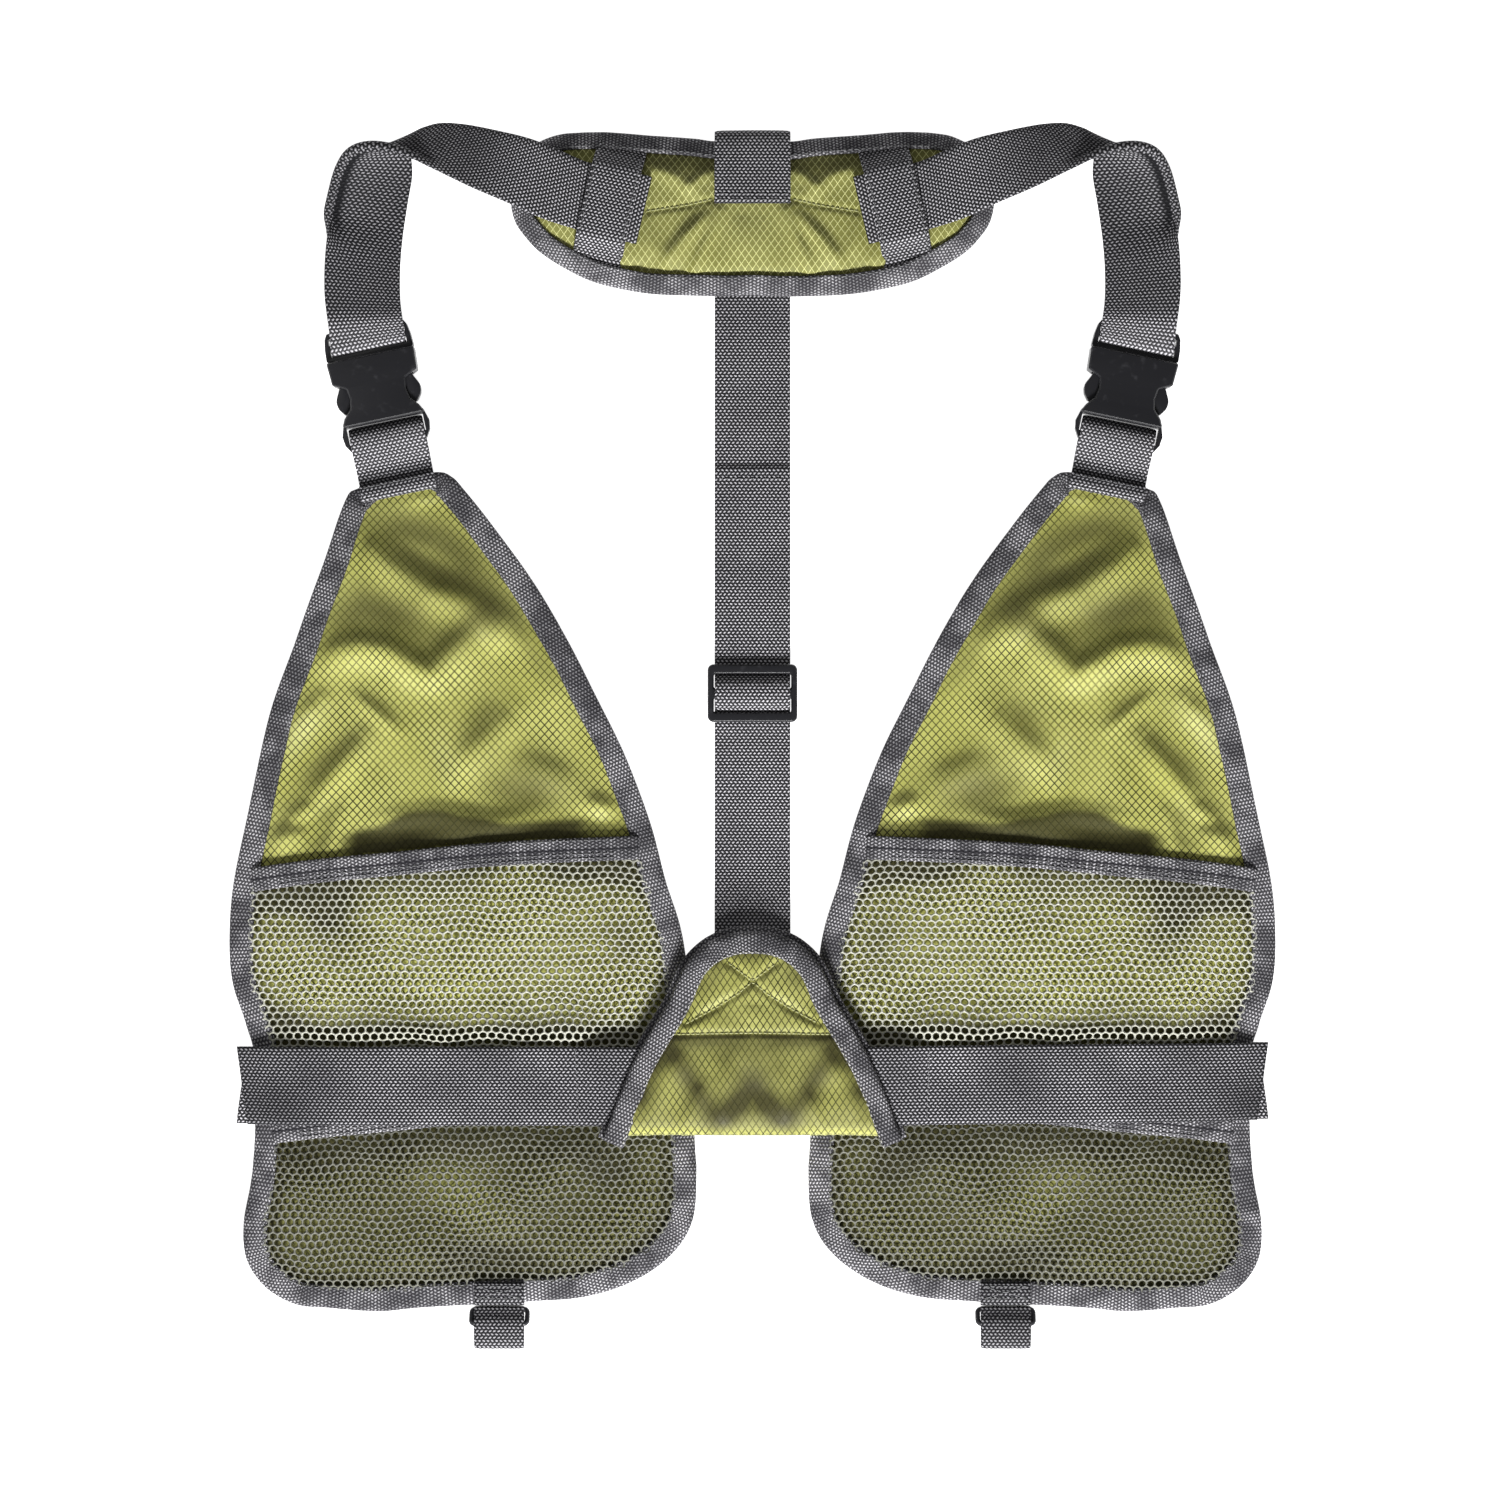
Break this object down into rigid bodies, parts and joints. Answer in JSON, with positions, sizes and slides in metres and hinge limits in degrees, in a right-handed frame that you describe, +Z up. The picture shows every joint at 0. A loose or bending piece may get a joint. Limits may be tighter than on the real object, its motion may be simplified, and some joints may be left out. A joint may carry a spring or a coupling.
{
  "type": "harness vest",
  "caption": "Webbing harness vest laid flat: bound cloth front panels with net pockets, padded neck yoke and lumbar pad, waist belt, back strap slider, release buckles and ring tabs.",
  "frame": {"origin": "on the table under the middle of the vest's bounding box, laid flat with its inner side up", "axes": "+Y towards the neck yoke, +Z up from the table, X across the vest, which is symmetric about X = 0"},
  "size_m": [0.526, 0.6128, 0.0374],
  "materials": {
    "olive_ripstop": "ripstop weave",
    "grey_webbing": "woven webbing",
    "grey_tape": "grosgrain tape",
    "pale_net": "open hexagonal net",
    "pad_foam": "closed-cell foam",
    "black_plastic": "moulded acetal",
    "ring_wire": "black coated wire"
  },
  "bodies": {
    "vest": {"anchor_strap_l": "grey_webbing", "anchor_strap_r": "grey_webbing", "back_strap": "grey_webbing", "back_strap_tail": "grey_webbing", "buckle_female_l": "black_plastic", "buckle_female_r": "black_plastic", "lower_pocket_hem_l": "grey_tape", "lower_pocket_hem_r": "grey_tape", "lower_pocket_mesh_l": "pale_net", "lower_pocket_mesh_r": "pale_net", "lumbar_binding": "grey_tape", "lumbar_cover": "olive_ripstop", "lumbar_foam": "pad_foam", "panel_binding_l": "grey_tape", "panel_binding_r": "grey_tape", "panel_fabric_l": "olive_ripstop", "panel_fabric_r": "olive_ripstop", "shoulder_strap_l": "grey_webbing", "shoulder_strap_r": "grey_webbing", "tab_foot_l": "grey_webbing", "tab_foot_r": "grey_webbing", "upper_pocket_hem_l": "grey_tape", "upper_pocket_hem_r": "grey_tape", "upper_pocket_mesh_l": "pale_net", "upper_pocket_mesh_r": "pale_net", "waist_belt": "grey_webbing", "yoke_binding": "grey_tape", "yoke_cover": "olive_ripstop", "yoke_foam": "pad_foam", "yoke_keeper_l": "grey_webbing", "yoke_keeper_r": "grey_webbing"},
    "slider": {"slider_frame": "black_plastic", "slider_webbing": "grey_webbing"},
    "buckle_left": {"buckle_male_l": "black_plastic"},
    "arm_left_left": {"buckle_l_arm_left": "black_plastic"},
    "arm_left_right": {"buckle_l_arm_right": "black_plastic"},
    "tab_left": {"tab_loop_l": "grey_webbing"},
    "ring_left": {"tab_ring_l": "ring_wire"},
    "buckle_right": {"buckle_male_r": "black_plastic"},
    "arm_right_left": {"buckle_r_arm_left": "black_plastic"},
    "arm_right_right": {"buckle_r_arm_right": "black_plastic"},
    "tab_right": {"tab_loop_r": "grey_webbing"},
    "ring_right": {"tab_ring_r": "ring_wire"}
  },
  "joints": [
    {"name": "slider_slide", "type": "slide", "parent": "vest", "child": "slider", "axis": [0, 1, 0], "range_m": [-0.055, 0.08]},
    {"name": "buckle_release_left", "type": "slide", "parent": "vest", "child": "buckle_left", "axis": [-0.2045, 0.9789, 0], "range_m": [0, 0.026], "deforming": ["shoulder_strap_l"]},
    {"name": "arm_squeeze_left_left", "type": "hinge", "parent": "buckle_left", "child": "arm_left_left", "pos_m": [-0.2059, 0.18416, 0.0056], "axis": [0, 0, 1], "range_deg": [0, 14]},
    {"name": "arm_squeeze_left_right", "type": "hinge", "parent": "buckle_left", "child": "arm_left_right", "pos_m": [-0.17526, 0.19056, 0.0056], "axis": [0, 0, -1], "range_deg": [0, 14]},
    {"name": "tab_fold_left", "type": "hinge", "parent": "vest", "child": "tab_left", "pos_m": [-0.1271, -0.286, 0.005], "axis": [-1, 0, 0], "range_deg": [0, 110]},
    {"name": "ring_swing_left", "type": "hinge", "parent": "tab_left", "child": "ring_left", "pos_m": [-0.1271, -0.2936, 0.0061], "axis": [-1, 0, 0], "range_deg": [0, 44]},
    {"name": "buckle_release_right", "type": "slide", "parent": "vest", "child": "buckle_right", "axis": [0.2045, 0.9789, 0], "range_m": [0, 0.026], "deforming": ["shoulder_strap_r"]},
    {"name": "arm_squeeze_right_left", "type": "hinge", "parent": "buckle_right", "child": "arm_right_left", "pos_m": [0.17526, 0.19056, 0.0056], "axis": [0, 0, 1], "range_deg": [0, 14]},
    {"name": "arm_squeeze_right_right", "type": "hinge", "parent": "buckle_right", "child": "arm_right_right", "pos_m": [0.2059, 0.18416, 0.0056], "axis": [0, 0, -1], "range_deg": [0, 14]},
    {"name": "tab_fold_right", "type": "hinge", "parent": "vest", "child": "tab_right", "pos_m": [0.1271, -0.286, 0.005], "axis": [-1, 0, 0], "range_deg": [0, 110]},
    {"name": "ring_swing_right", "type": "hinge", "parent": "tab_right", "child": "ring_right", "pos_m": [0.1271, -0.2936, 0.0061], "axis": [-1, 0, 0], "range_deg": [0, 44]}
  ],
  "couplings": [
    {"joint": "arm_squeeze_left_left", "follows": "buckle_release_left", "rad_per_m": 9.3885},
    {"joint": "arm_squeeze_left_right", "follows": "buckle_release_left", "rad_per_m": 9.3885},
    {"joint": "ring_swing_left", "follows": "tab_fold_left", "ratio": 0.3999},
    {"joint": "arm_squeeze_right_left", "follows": "buckle_release_right", "rad_per_m": 9.3885},
    {"joint": "arm_squeeze_right_right", "follows": "buckle_release_right", "rad_per_m": 9.3885},
    {"joint": "ring_swing_right", "follows": "tab_fold_right", "ratio": 0.3999}
  ]
}
